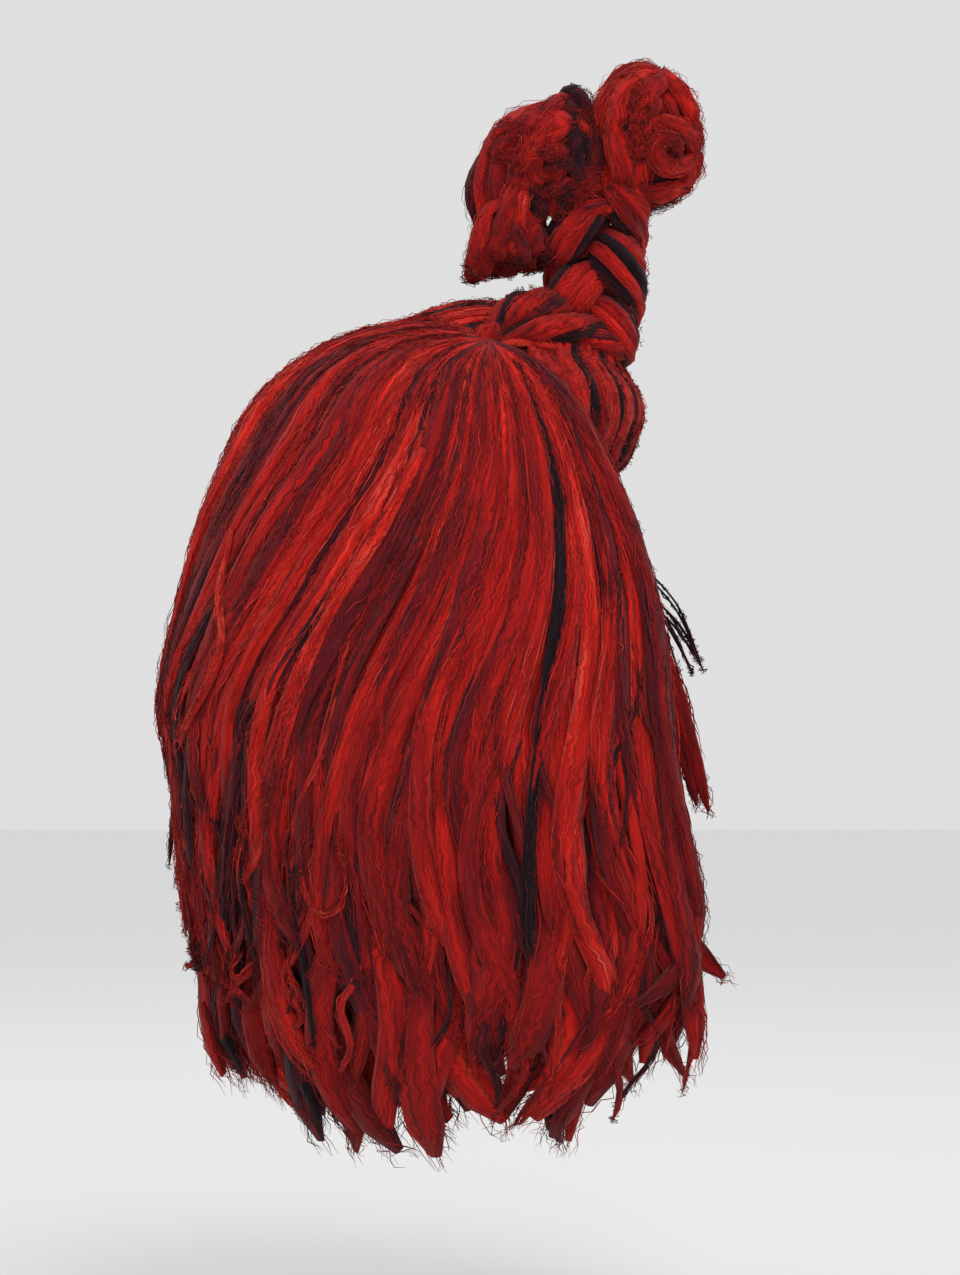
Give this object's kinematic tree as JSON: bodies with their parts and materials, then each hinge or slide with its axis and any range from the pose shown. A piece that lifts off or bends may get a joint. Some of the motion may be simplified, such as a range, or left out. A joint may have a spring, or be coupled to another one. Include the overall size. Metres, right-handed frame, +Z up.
{
  "type": "costume wig",
  "caption": "Long layered costume wig on a net cap, with swept-up front hair, side knots and a plaited topknot that ends in a puff and a tuft.",
  "frame": {"origin": "middle of the head opening at hat-size height, where a head holds the wig", "axes": "+Z up along the wearer's head, the wearer faces -Y and the wearer's left is +X"},
  "size_m": [0.3, 0.3686, 0.718],
  "materials": {
    "net_cap": "fine stretch net, black, matt",
    "front_band": "woven polyester tape, charcoal, matt",
    "nape_elastic": "woven elastic, black, matt",
    "ear_tab_right": "woven polyester tape, charcoal, matt",
    "ear_tab_left": "woven polyester tape, charcoal, matt",
    "strap_right": "woven elastic, black, matt",
    "strap_left": "woven elastic, black, matt",
    "loop_tape_right": "woven polyester tape, charcoal, matt",
    "loop_tape_left": "woven polyester tape, charcoal, matt",
    "weft_track_nape": "machine-sewn weft of red and black hair",
    "weft_track_low": "machine-sewn weft of red and black hair",
    "weft_track_mid": "machine-sewn weft of red and black hair",
    "weft_track_high": "machine-sewn weft of red and black hair",
    "tie_foot": "woven elastic, black, matt",
    "crown_hair_right": "wool-like hair in thick locks, red with maroon and black streaks, soft frizzy sheen",
    "crown_hair_left": "wool-like hair in thick locks, red with maroon and black streaks, soft frizzy sheen",
    "side_hair_right": "wool-like hair in thick locks, bright red with maroon and black streaks, soft frizzy sheen",
    "side_hair_left": "wool-like hair in thick locks, bright red with maroon and black streaks, soft frizzy sheen",
    "nape_hair_right": "wool-like hair in thick locks, red with maroon and black streaks, soft frizzy sheen",
    "nape_hair_left": "wool-like hair in thick locks, red with maroon and black streaks, soft frizzy sheen",
    "front_hair_right": "wool-like hair in thick locks, red with maroon and black streaks, soft frizzy sheen",
    "front_hair_middle": "wool-like hair in thick locks, red with maroon and black streaks, soft frizzy sheen",
    "front_hair_left": "wool-like hair in thick locks, red with maroon and black streaks, soft frizzy sheen",
    "knot_right": "wool-like hair in thick locks, bright red with maroon and black streaks, soft frizzy sheen",
    "knot_left": "wool-like hair in thick locks, bright red with maroon and black streaks, soft frizzy sheen",
    "bundle_right": "wool-like hair in thick locks, red with maroon and black streaks, soft frizzy sheen",
    "bundle_left": "wool-like hair in thick locks, red with maroon and black streaks, soft frizzy sheen",
    "curtain_right_front": "wool-like hair in thick locks, bright red with maroon and black streaks, soft frizzy sheen",
    "curtain_right_middle": "wool-like hair in thick locks, red with maroon and black streaks, soft frizzy sheen",
    "curtain_right_rear": "wool-like hair in thick locks, bright red with maroon and black streaks, soft frizzy sheen",
    "under_layer_front_right": "wool-like hair in thick locks, deep red with black streaks, soft frizzy sheen",
    "long_lock_right": "wool-like hair in thick locks, deep red with black streaks, soft frizzy sheen",
    "under_layer_rear_right": "wool-like hair in thick locks, deep red with black streaks, soft frizzy sheen",
    "curtain_left_front": "wool-like hair in thick locks, bright red with maroon and black streaks, soft frizzy sheen",
    "curtain_left_middle": "wool-like hair in thick locks, red with maroon and black streaks, soft frizzy sheen",
    "curtain_left_rear": "wool-like hair in thick locks, bright red with maroon and black streaks, soft frizzy sheen",
    "under_layer_front_left": "wool-like hair in thick locks, deep red with black streaks, soft frizzy sheen",
    "long_lock_left": "wool-like hair in thick locks, deep red with black streaks, soft frizzy sheen",
    "under_layer_rear_left": "wool-like hair in thick locks, deep red with black streaks, soft frizzy sheen",
    "face_lock_left": "wool-like hair in thick locks, red with maroon and black streaks, soft frizzy sheen",
    "curtain_back_right": "wool-like hair in thick locks, red with maroon and black streaks, soft frizzy sheen",
    "curtain_back_middle": "wool-like hair in thick locks, red with maroon and black streaks, soft frizzy sheen",
    "curtain_back_left": "wool-like hair in thick locks, red with maroon and black streaks, soft frizzy sheen",
    "nape_layer_right": "wool-like hair in thick locks, maroon with black streaks, soft frizzy sheen",
    "nape_layer_left": "wool-like hair in thick locks, maroon with black streaks, soft frizzy sheen",
    "plait_strand_1": "wool-like hair in thick locks, bright red with maroon and black streaks, soft frizzy sheen",
    "plait_strand_2": "wool-like hair in thick locks, red with maroon and black streaks, soft frizzy sheen",
    "plait_strand_3": "wool-like hair in thick locks, deep red with black streaks, soft frizzy sheen",
    "tie_top": "woven elastic, black, matt",
    "front_puff": "wool-like hair in thick locks, bright red with maroon and black streaks, soft frizzy sheen",
    "rear_tuft": "wool-like hair in thick locks, red with maroon and black streaks, soft frizzy sheen",
    "adjuster_hook_right": "bent steel wire, satin",
    "adjuster_hook_left": "bent steel wire, satin"
  },
  "bodies": {
    "wig_cap": {"net_cap": "net_cap", "front_band": "front_band", "nape_elastic": "nape_elastic", "ear_tab_right": "ear_tab_right", "ear_tab_left": "ear_tab_left", "strap_right": "strap_right", "strap_left": "strap_left", "loop_tape_right": "loop_tape_right", "loop_tape_left": "loop_tape_left", "weft_track_nape": "weft_track_nape", "weft_track_low": "weft_track_low", "weft_track_mid": "weft_track_mid", "weft_track_high": "weft_track_high", "tie_foot": "tie_foot", "crown_hair_right": "crown_hair_right", "crown_hair_left": "crown_hair_left", "side_hair_right": "side_hair_right", "side_hair_left": "side_hair_left", "nape_hair_right": "nape_hair_right", "nape_hair_left": "nape_hair_left", "front_hair_right": "front_hair_right", "front_hair_middle": "front_hair_middle", "front_hair_left": "front_hair_left", "knot_right": "knot_right", "knot_left": "knot_left", "bundle_right": "bundle_right", "bundle_left": "bundle_left"},
    "right_curtain": {"curtain_right_front": "curtain_right_front", "curtain_right_middle": "curtain_right_middle", "curtain_right_rear": "curtain_right_rear", "under_layer_front_right": "under_layer_front_right", "long_lock_right": "long_lock_right", "under_layer_rear_right": "under_layer_rear_right"},
    "left_curtain": {"curtain_left_front": "curtain_left_front", "curtain_left_middle": "curtain_left_middle", "curtain_left_rear": "curtain_left_rear", "under_layer_front_left": "under_layer_front_left", "long_lock_left": "long_lock_left", "under_layer_rear_left": "under_layer_rear_left", "face_lock_left": "face_lock_left"},
    "back_curtain": {"curtain_back_right": "curtain_back_right", "curtain_back_middle": "curtain_back_middle", "curtain_back_left": "curtain_back_left", "nape_layer_right": "nape_layer_right", "nape_layer_left": "nape_layer_left"},
    "topknot_stem": {"plait_strand_1": "plait_strand_1", "plait_strand_2": "plait_strand_2", "plait_strand_3": "plait_strand_3", "tie_top": "tie_top"},
    "front_puff": {"front_puff": "front_puff"},
    "rear_tuft": {"rear_tuft": "rear_tuft"},
    "hook_right": {"adjuster_hook_right": "adjuster_hook_right"},
    "hook_left": {"adjuster_hook_left": "adjuster_hook_left"}
  },
  "joints": [
    {"name": "right_curtain_swing", "type": "hinge", "parent": "wig_cap", "child": "right_curtain", "pos_m": [-0.1115, 0, -0.06], "axis": [0, 1, 0], "range_deg": [0, 25]},
    {"name": "left_curtain_swing", "type": "hinge", "parent": "wig_cap", "child": "left_curtain", "pos_m": [0.1115, 0, -0.06], "axis": [0, -1, 0], "range_deg": [0, 25]},
    {"name": "back_curtain_swing", "type": "hinge", "parent": "wig_cap", "child": "back_curtain", "pos_m": [0, 0.132, -0.098], "axis": [1, 0, 0], "range_deg": [0, 20]},
    {"name": "topknot_sway", "type": "hinge", "parent": "wig_cap", "child": "topknot_stem", "pos_m": [0, -0.062, 0.0785], "axis": [1, 0, 0], "range_deg": [-8, 8], "stiffness_Nm_per_rad": 1.2},
    {"name": "front_puff_nod", "type": "hinge", "parent": "topknot_stem", "child": "front_puff", "pos_m": [0, -0.08, 0.15], "axis": [1, 0, 0], "range_deg": [-4, 10], "stiffness_Nm_per_rad": 0.5},
    {"name": "rear_tuft_sway", "type": "hinge", "parent": "topknot_stem", "child": "rear_tuft", "pos_m": [0, -0.045, 0.152], "axis": [1, 0, 0], "range_deg": [-4, 12], "stiffness_Nm_per_rad": 0.5},
    {"name": "right_hook_adjust", "type": "hinge", "parent": "wig_cap", "child": "hook_right", "pos_m": [-0.00413, 0.01868, -0.066], "axis": [0, 0, -1], "range_deg": [0, 15]},
    {"name": "left_hook_adjust", "type": "hinge", "parent": "wig_cap", "child": "hook_left", "pos_m": [0.00413, 0.01868, -0.066], "axis": [0, 0, 1], "range_deg": [0, 15]}
  ]
}
